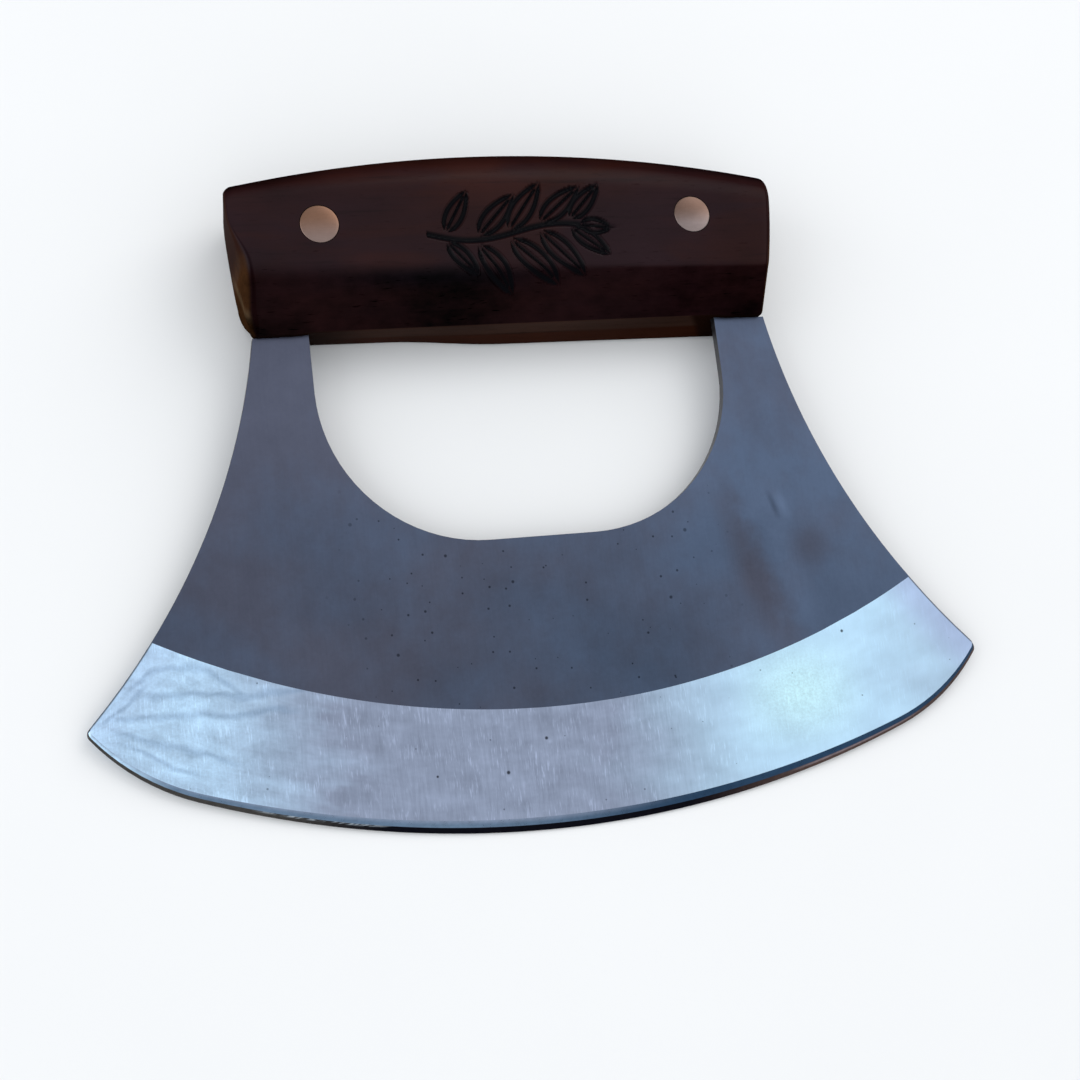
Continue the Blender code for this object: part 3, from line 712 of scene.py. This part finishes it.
class ULU_OT_handle(bpy.types.Operator):
    """Shape the wooden handle, slot it for the plate, bore it for the pins and carve its front"""
    bl_idname = "ulu.handle"
    bl_label = "Handle"

    BACK_HOLLOW, SIDE_LEAN, SINK = 0.1 * MM, 0.15 * MM, 0.27 * MM
    SEAT, BASE_ROUND, TUCK_FLOOR = 1.3 * MM, 0.5 * MM, 7 * MM
    CREASE_ROUND_LEFT, CREASE_ROUND_RIGHT = 5 * MM, 1.6 * MM
    ARRIS_TOP, ARRIS_FOOT = 0.45 * MM, 2 * MM
    LEFT_TUCK_SHARE, LEFT_TUCK_POWER = 1.2, 0.6
    LEFT_CORNER, LEFT_HEEL = 0.9 * MM, 1 * MM
    CROWN_SHARE, CROWN_POWER, CROWN_SPACING = 0.365, 0.8, 1.2
    # Between which two heights, depths or places each of these forms comes in.
    EAR_RISES, CORNER_RISES, HEEL_RISES = (11 * MM, 19 * MM), (22.6 * MM, 25.4 * MM), (0, 4 * MM)
    ARRIS_RISES, ARRIS_DEPTHS = (10 * MM, 18 * MM), (1 * MM, 4 * MM)
    SEAT_RISES, SEAT_DEPTHS = (0, 1 * MM), (-2.6 * MM, -1.4 * MM)
    LIFT_PLACES, SINK_PLACES = (2 * MM, 24 * MM), (36.5 * MM, 39.8 * MM)
    # Room round the bar and the pins, and the wood left under the bar between the legs.
    SLOT_GAP, SLOT_SKIN, PIN_GAP = 0.08 * MM, 0.32 * MM, 0.06 * MM
    MOUTH_LENGTH, MOUTH_TOP, MOUTH_GAP_SHARE, OVERRUN = 4.9 * MM, 2 * MM, 0.9, 4 * MM
    BORE_SIDES, SMOOTH_ANGLE = 96, math.radians(32)
    SEAT_STEPS, BASE_STEPS, BASE_ROUND_STEPS = 2, 5, 3
    FACET_STEPS, CREASE_STEPS, SIDE_STEPS, CROWN_STEPS = 28, 9, 56, 38
    PLAIN_STEPS, CARVED_STEPS, END_STEPS, CLOSING_STEPS = 24, 220, 9, 4

    def half_section(self, base_corner, crease, crease_round, top_rise):
        """One side of the section as (depth, rise), from the underside's middle to the top."""
        crown = (top_rise - crease.y) * self.CROWN_SHARE
        spring = Vector((crease.x - self.SIDE_LEAN, top_rise - crown))
        start = Vector((0, 0))
        seat = Vector((self.SEAT, 0))
        heel = rounded_corner(seat, base_corner, crease, self.BASE_ROUND, self.BASE_ROUND_STEPS)
        knee = rounded_corner(base_corner, crease, spring, crease_round, self.CREASE_STEPS)
        section = [start] + split(start, seat, self.SEAT_STEPS) + [seat]
        section += split(seat, heel[0], self.BASE_STEPS) + heel
        section += split(heel[-1], knee[0], self.FACET_STEPS) + knee
        section += split(knee[-1], spring, self.SIDE_STEPS)
        for step in range(self.CROWN_STEPS + 1):
            turn = QUARTER_TURN * (step / self.CROWN_STEPS) ** self.CROWN_SPACING
            across = math.cos(turn) if step < self.CROWN_STEPS else 0
            section.append(Vector((spring.x * across ** self.CROWN_POWER,
                                   spring.y + crown * math.sin(turn) ** self.CROWN_POWER)))
        return section

    def reach(self, side, rise, depth, settings):
        """How far an end lies from the middle, at a height above the underside and a depth."""
        tuck = settings.tuck_left if side < 0 else settings.tuck_right
        full = settings.half_length - tuck * (1 - max(rise, self.TUCK_FLOOR) / settings.height) ** 2
        if rise < self.TUCK_FLOOR and depth < 0:
            inward = -depth / (settings.depth / 2)
            if side < 0:
                inward = self.LEFT_TUCK_SHARE * inward ** self.LEFT_TUCK_POWER
            full -= settings.tuck_back * inward * (1 - rise / self.TUCK_FLOOR) ** 2
        if side < 0:
            full += settings.ear * max(0, depth) / (settings.depth / 2) * eased(rise, *self.EAR_RISES)
            full -= self.LEFT_CORNER * eased(rise, *self.CORNER_RISES)
            full -= self.LEFT_HEEL * (1 - eased(rise, *self.HEEL_RISES))
        return full

    def arris(self, side, rise, depth, settings):
        """Rounding over an end: on the left, fine at the front's upper corner and full below it."""
        if side >= 0:
            return settings.end_round
        radius = between(self.ARRIS_FOOT, self.ARRIS_TOP, eased(rise, *self.ARRIS_RISES))
        return between(settings.end_round, radius, eased(depth, *self.ARRIS_DEPTHS))

    def sections(self, side, place, settings):
        """The front and back halves of the section at a place, and its middle height."""
        radius = settings.arch_radius
        top_rise = settings.height - radius + math.sqrt(radius ** 2 - (place + settings.arch_shift) ** 2)
        along = (side + 1) / 2
        front_crease = between(settings.crease_left, settings.crease_right, along)
        crease_round = between(self.CREASE_ROUND_LEFT, self.CREASE_ROUND_RIGHT, along)
        back_depth = settings.depth / 2 - self.BACK_HOLLOW * (1 - side ** 2)
        drop = between(settings.drop_left, settings.drop_right, along)
        drop -= settings.lift * eased(-place, *self.LIFT_PLACES)
        front = self.half_section(Vector((settings.front_base, 0)),
                                  Vector((settings.depth / 2, front_crease)), crease_round, top_rise)
        back = self.half_section(Vector((settings.back_base, -drop)),
                                 Vector((back_depth, settings.crease_back)), self.CREASE_ROUND_LEFT, top_rise)
        return front, back, top_rise / 2

    def ring(self, station, settings):
        """A closed section at a station: its side, its turn over the end and how far it is still open."""
        side, turn, openness = station
        opening = 1 - math.sin(turn)
        closing = 1 - math.cos(turn)
        pins_reach = self.reach(side, PIN_LEVEL - HANDLE_BASE, 0, settings)
        place = side * (pins_reach - settings.end_round * opening)
        sink = self.SINK * eased(abs(place), *self.SINK_PLACES)
        front, back, centre = self.sections(side, place, settings)
        sides = []
        for half, sign in ((front, 1), (back, -1)):
            points = []
            for point in half:
                rounding = self.arris(side, point.y, sign * point.x, settings)
                inset = rounding * closing
                depth = sign * point.x * (1 - inset / (settings.depth / 2))
                rise = centre + (point.y - centre) * (1 - inset / centre)
                reach = self.reach(side, rise, depth, settings) - rounding * opening
                seat = eased(depth, *self.SEAT_DEPTHS) * (1 - eased(rise, *self.SEAT_RISES))
                points.append(Vector((side * reach, HANDLE_BASE + rise - sink * seat, depth)))
            sides.append(points)
        if openness < 1:
            middles = [(near + far) / 2 for near, far in zip(*sides)]
            sides = [[middle.lerp(point, openness) for middle, point in zip(middles, points)]
                     for points in sides]
        return sides[0] + sides[1][-2:0:-1] + sides[0][:1]

    def stations(self, body, carved):
        """Where the sections stand along the handle, closest together where it is carved."""
        share = carved / body
        plain = [-1 + step / self.PLAIN_STEPS * (1 - share) for step in range(self.PLAIN_STEPS)]
        middle = [share * (2 * step / self.CARVED_STEPS - 1) for step in range(self.CARVED_STEPS + 1)]
        line = plain + middle + [-side for side in reversed(plain)]
        turns = [QUARTER_TURN * step / self.END_STEPS for step in range(1, self.END_STEPS + 1)]
        closing = [(QUARTER_TURN, 1 - step / self.CLOSING_STEPS) for step in range(1, self.CLOSING_STEPS + 1)]
        end = [(turn, 1) for turn in turns] + closing
        left = [(-1, turn, fullness) for turn, fullness in reversed(end)]
        right = [(1, turn, fullness) for turn, fullness in end]
        return left + [(side, 0, 1) for side in line] + right

    def body(self, settings, carved):
        """The plain handle: a grid rolled round its sections and welded shut."""
        rings = [self.ring(station, settings) for station in self.stations(settings.half_length, carved)]
        across = len(rings) - 1
        around = len(rings[0]) - 1
        bm = bmesh.new()
        bmesh.ops.create_grid(bm, x_segments=across, y_segments=around, size=0.5)
        for vert in bm.verts:
            station = round((vert.co.x + 0.5) * across)
            place = round((vert.co.y + 0.5) * around)
            vert.co = rings[station][place]
        bmesh.ops.remove_doubles(bm, verts=bm.verts, dist=WELD)
        bmesh.ops.recalc_face_normals(bm, faces=bm.faces)
        return bm

    def cutters(self, settings):
        """The slot for the bar, its two mouths for the legs and the two pin bores."""
        low, high = TANG
        gap = Vector.Fill(3, self.SLOT_GAP)
        bar_low = Vector((low.x, HANDLE_BASE + self.SLOT_SKIN + self.SLOT_GAP, low.z))
        boxes = [(bar_low - gap, high + gap)]
        for side in (-1, 1):
            outer = side * (high.x + self.SLOT_GAP * self.MOUTH_GAP_SHARE)
            inner = side * (high.x - self.MOUTH_LENGTH)
            thick = high.z + self.SLOT_GAP * self.MOUTH_GAP_SHARE
            boxes.append((Vector((min(outer, inner), HANDLE_BASE - self.OVERRUN, -thick)),
                          Vector((max(outer, inner), HANDLE_BASE + self.MOUTH_TOP, thick))))
        cutters = []
        for box_low, box_high in boxes:
            bm = bmesh.new()
            bmesh.ops.create_cube(bm, size=1)
            bmesh.ops.scale(bm, vec=box_high - box_low, verts=bm.verts)
            bmesh.ops.translate(bm, vec=(box_low + box_high) / 2, verts=bm.verts)
            cutters.append(bm)
        for pin_low, pin_high in PINS.values():
            bm = bmesh.new()
            radius = (pin_high.x - pin_low.x) / 2 + self.PIN_GAP
            bmesh.ops.create_cone(bm, cap_ends=True, segments=self.BORE_SIDES, radius1=radius,
                                  radius2=radius, depth=settings.depth + self.OVERRUN)
            bmesh.ops.translate(bm, vec=(pin_low + pin_high) / 2, verts=bm.verts)
            cutters.append(bm)
        return cutters

    def execute(self, context):
        settings = context.scene.ulu_handle
        carving = context.scene.ulu_carving
        carved = carving.half_length + CARVING_MARGIN
        handle = new_piece("wooden_handle", self.body(settings, carved), [])
        made = []
        for number, bm in enumerate(self.cutters(settings)):
            cutter = new_piece("handle_cutter_%d" % number, bm, [])
            modifier = handle.modifiers.new(cutter.name, "BOOLEAN")
            modifier.operation = "DIFFERENCE"
            modifier.solver = "EXACT"
            modifier.object = cutter
            made.append(cutter)
        bpy.context.view_layer.update()
        cut = bmesh.new()
        cut.from_object(handle, bpy.context.evaluated_depsgraph_get())
        for spare in [handle, *made]:
            bpy.data.objects.remove(spare, do_unlink=True)
        bmesh.ops.transform(cut, matrix=TO_KNIFE, verts=cut.verts)
        bmesh.ops.remove_doubles(cut, verts=cut.verts, dist=WELD / 4)
        carve(cut, carving)
        set_smooth(cut, self.SMOOTH_ANGLE)
        new_piece("carved_handle", cut, [varnished_wood(settings)], "handle_wood", ["handle"])
        return {"FINISHED"}


CARVING_MARGIN = 2 * MM
# A leaf is widest a little before its middle, and its grooves fade over the first and last seventh.
LEAF_POWER, LEAF_ENDS = 0.8, 7
VEIN_SHARE, VEIN_WIDTH_SHARE, VEIN_LENGTH_SHARE = 0.8, 0.75, 0.84
STEM_SWAY, STEM_HALF_WIDTH, STEM_END_SHARE = 1.3 * MM, 0.75 * MM, 0.74
LEAF_START, LEAF_SPREAD = 0.9 * MM, 1.75
# A leaf's size at the ends, what the middle adds, and the unevenness.
LEAF_SIZE, LEAF_SWELL, LEAF_UNEVEN = 0.62, 0.38, 0.05
# Its lean at the foot in degrees, how much less at the top, and the unevenness.
LEAF_LEAN, LEAN_LOSS, LEAN_UNEVEN = 56, 16, 5
TOP_PLACE_SHARE, TOP_LENGTH_SHARE, TOP_WIDTH_SHARE, TOP_SLOPE = 0.72, 0.52, 0.72, -0.12
# How near to its line a cut is deepest, and its stain darkest.
DEEP_SHARE, DARK_SHARE = 0.75, 0.5


def leaf_cut(place, groove, root, direction, length, width):
    """Closeness to a leaf's outline or vein: 1 on the line, 0 at the groove's edge."""
    offset = place - root
    along = offset.dot(direction) / length
    if not 0 < along < 1:
        return 0
    half = width / 2 * math.sin(math.pi * along ** LEAF_POWER)
    across = abs(offset.x * direction.y - offset.y * direction.x)
    outline = 1 - abs(across - half) / groove
    vein = VEIN_SHARE * (1 - across / (VEIN_WIDTH_SHARE * groove)) if along < VEIN_LENGTH_SHARE else 0
    return max(outline, vein) - max(0, 1 - LEAF_ENDS * along, 1 - LEAF_ENDS * (1 - along))


def stem_rise(along, settings):
    """Height of the sprig's stem, which sways gently from end to end."""
    return settings.rise + STEM_SWAY * math.sin(math.pi * along / settings.half_length)


def sprig_leaves(settings):
    """Root, direction, length and width of every leaf."""
    leaves = []
    for pair in range(settings.pairs):
        share = (pair + 0.5) / settings.pairs
        along = settings.half_length * (LEAF_SPREAD * share - 1)
        root = Vector((along, stem_rise(along, settings)))
        for side in (-1, 1):
            size = LEAF_SIZE + LEAF_SWELL * math.sin(math.pi * share)
            size += LEAF_UNEVEN * math.sin(5 * pair + side)
            lean = LEAF_LEAN - LEAN_LOSS * share + LEAN_UNEVEN * math.sin(3 * pair + 2 * side)
            lean = math.radians(lean) * side
            direction = Vector((math.cos(lean), math.sin(lean)))
            start = root + direction * LEAF_START
            leaves.append((start, direction, settings.leaf_length * size, settings.leaf_width * size))
    top = settings.half_length * TOP_PLACE_SHARE
    leaves.append((Vector((top, stem_rise(top, settings))), Vector((1, TOP_SLOPE)).normalized(),
                   settings.leaf_length * TOP_LENGTH_SHARE, settings.leaf_width * TOP_WIDTH_SHARE))
    return leaves


def carve(bm, settings):
    """Sink the sprig into the front and note how deeply each point is stained."""
    stain = bm.verts.layers.float.new("stain")
    leaves = sprig_leaves(settings)
    bm.normal_update()
    moves = []
    for vert in bm.verts:
        place = Vector((vert.co.x, vert.co.y - HANDLE_BASE))
        beside = abs(place.x) > settings.half_length + CARVING_MARGIN
        if vert.co.z < 0 or beside or place.y < CARVING_MARGIN:
            continue
        share = max(leaf_cut(place, settings.groove, *leaf) for leaf in leaves)
        stem = abs(place.y - stem_rise(place.x, settings))
        if -settings.half_length < place.x < settings.half_length * STEM_END_SHARE:
            share = max(share, VEIN_SHARE * (1 - stem / STEM_HALF_WIDTH))
        if share > 0:
            moves.append((vert, vert.co - vert.normal * settings.depth * eased(share, 0, DEEP_SHARE), share))
    for vert, place, share in moves:
        vert.co = place
        vert[stain] = eased(share, 0, DARK_SHARE)
    bm.normal_update()


class ULU_OT_pins(bpy.types.Operator):
    """Turn the two steel pins, with eased and slightly domed ends"""
    bl_idname = "ulu.pins"
    bl_label = "Pins"

    DOME_STEPS, EASING_STEPS, TURN_STEPS, SMOOTH_ANGLE = 5, 4, 72, math.radians(30)

    def turned_pin(self, settings, box):
        """A pin spun from half its profile, closed on its axis."""
        low, high = box
        radius = (high.x - low.x) / 2
        easing = settings.chamfer
        shares = [step / self.DOME_STEPS for step in range(self.DOME_STEPS)]
        profile = [Vector((radius * share, 0, high.z - settings.dome * share ** 2)) for share in shares]
        rim = Vector((radius - easing, high.z - settings.dome - easing))
        for step in range(self.EASING_STEPS + 1):
            turn = QUARTER_TURN * (1 - step / self.EASING_STEPS)
            profile.append(Vector((rim.x + easing * math.cos(turn), 0, rim.y + easing * math.sin(turn))))
        profile += [Vector((point.x, 0, -point.z)) for point in reversed(profile)]
        bm = bmesh.new()
        verts = [bm.verts.new(point) for point in profile]
        edges = [bm.edges.new(pair) for pair in zip(verts, verts[1:])]
        bmesh.ops.spin(bm, geom=verts + edges, cent=(0, 0, 0), axis=(0, 0, 1), angle=4 * QUARTER_TURN,
                       steps=self.TURN_STEPS, use_merge=True)
        bmesh.ops.remove_doubles(bm, verts=bm.verts, dist=WELD)
        bmesh.ops.recalc_face_normals(bm, faces=bm.faces)
        bmesh.ops.translate(bm, vec=(low + high) / 2, verts=bm.verts)
        set_smooth(bm, self.SMOOTH_ANGLE)
        return bm

    def execute(self, context):
        settings = context.scene.ulu_pins
        metal = polished_metal(settings)
        for node, box in PINS.items():
            new_piece("polished_" + node, self.turned_pin(settings, box), [metal], "pin_steel", [node])
        return {"FINISHED"}


class ULU_OT_stage(bpy.types.Operator):
    """Lay the pale floor, hang the soft lights and place the camera"""
    bl_idname = "ulu.stage"
    bl_label = "Stage"

    FLOOR_CELLS = 8
    SENSOR_WIDTH, NEAREST = 36, 0.01
    SKY_COLOUR, SKY_STRENGTH = (0.94, 0.97, 1, 1), 0.96
    # Name, place, size, power and colour of each lamp.
    LAMPS = (
        ("key", (0.75, 0.7, 0.75), 1, 5, (1, 0.98, 0.96)),
        ("fill", (-0.95, 0.00, 0.55), 0.9, 3, (0.92, 0.96, 1)),
    )

    def lay_floor(self, settings):
        bm = bmesh.new()
        bmesh.ops.create_grid(bm, x_segments=self.FLOOR_CELLS, y_segments=self.FLOOR_CELLS,
                              size=settings.floor_reach)
        floor = new_solid("floor", bm, [pale_floor(settings)])

    def hang_light(self, name, place, size, power, colour):
        """A square soft light that faces the knife."""
        light = bpy.data.lights.new(name, "AREA")
        light.size = size
        light.energy = power
        light.color = colour
        lamp = new_object(name, light)
        lamp.location = place
        lamp.rotation_euler = Vector(place).to_track_quat("Z", "Y").to_euler()

    def light_room(self):
        world = bpy.data.worlds.new("studio")
        world.use_nodes = True
        background = world.node_tree.nodes["Background"]
        background.inputs["Color"].default_value = self.SKY_COLOUR
        background.inputs["Strength"].default_value = self.SKY_STRENGTH
        bpy.context.scene.world = world
        for lamp in self.LAMPS:
            self.hang_light(*lamp)

    def place_camera(self, settings):
        data = bpy.data.cameras.new("camera")
        data.lens = settings.lens
        data.sensor_width = self.SENSOR_WIDTH
        data.clip_start = self.NEAREST
        camera = new_object("camera", data)
        turn = Euler(settings.camera_turn).to_matrix().to_4x4()
        camera.matrix_world = TO_TABLE @ Matrix.Translation(settings.camera_place) @ turn
        bpy.context.scene.camera = camera

    def execute(self, context):
        settings = context.scene.ulu_stage
        context.scene.view_settings.view_transform = "Standard"
        self.lay_floor(settings)
        self.light_room()
        self.place_camera(settings)
        return {"FINISHED"}


class ULU_PT_knife(bpy.types.Panel):
    """Lists the knife's pieces in the order in which they are made"""
    bl_idname = "ULU_PT_knife"
    bl_label = "Ulu knife"
    bl_space_type = "VIEW_3D"
    bl_region_type = "UI"
    bl_category = "Ulu"

    def draw(self, context):
        for name, group, operator in STEPS:
            box = self.layout.box()
            settings = getattr(context.scene, name)
            for prop in settings.bl_rna.properties:
                if not prop.is_readonly and prop.identifier != "name":
                    box.prop(settings, prop.identifier)
            if operator:
                box.operator(operator.bl_idname)


# Each group's name on the scene, the group and its own operator, if it has one.
STEPS = (
    ("ulu_blade", BladeSettings, ULU_OT_blade),
    ("ulu_carving", CarvingSettings, None),
    ("ulu_handle", HandleSettings, ULU_OT_handle),
    ("ulu_pins", PinSettings, ULU_OT_pins),
    ("ulu_stage", StageSettings, ULU_OT_stage),
)


def register():
    for name, group, operator in STEPS:
        bpy.utils.register_class(group)
        setattr(bpy.types.Scene, name, PointerProperty(type=group))
        if operator:
            bpy.utils.register_class(operator)
    bpy.utils.register_class(ULU_PT_knife)


def unregister():
    bpy.utils.unregister_class(ULU_PT_knife)
    for name, group, operator in reversed(STEPS):
        if operator:
            bpy.utils.unregister_class(operator)
        delattr(bpy.types.Scene, name)
        bpy.utils.unregister_class(group)


def main():
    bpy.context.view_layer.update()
    register()
    bpy.ops.ulu.blade()
    bpy.ops.ulu.handle()
    bpy.ops.ulu.pins()
    bpy.ops.ulu.stage()


if __name__ == "__main__":
    main()
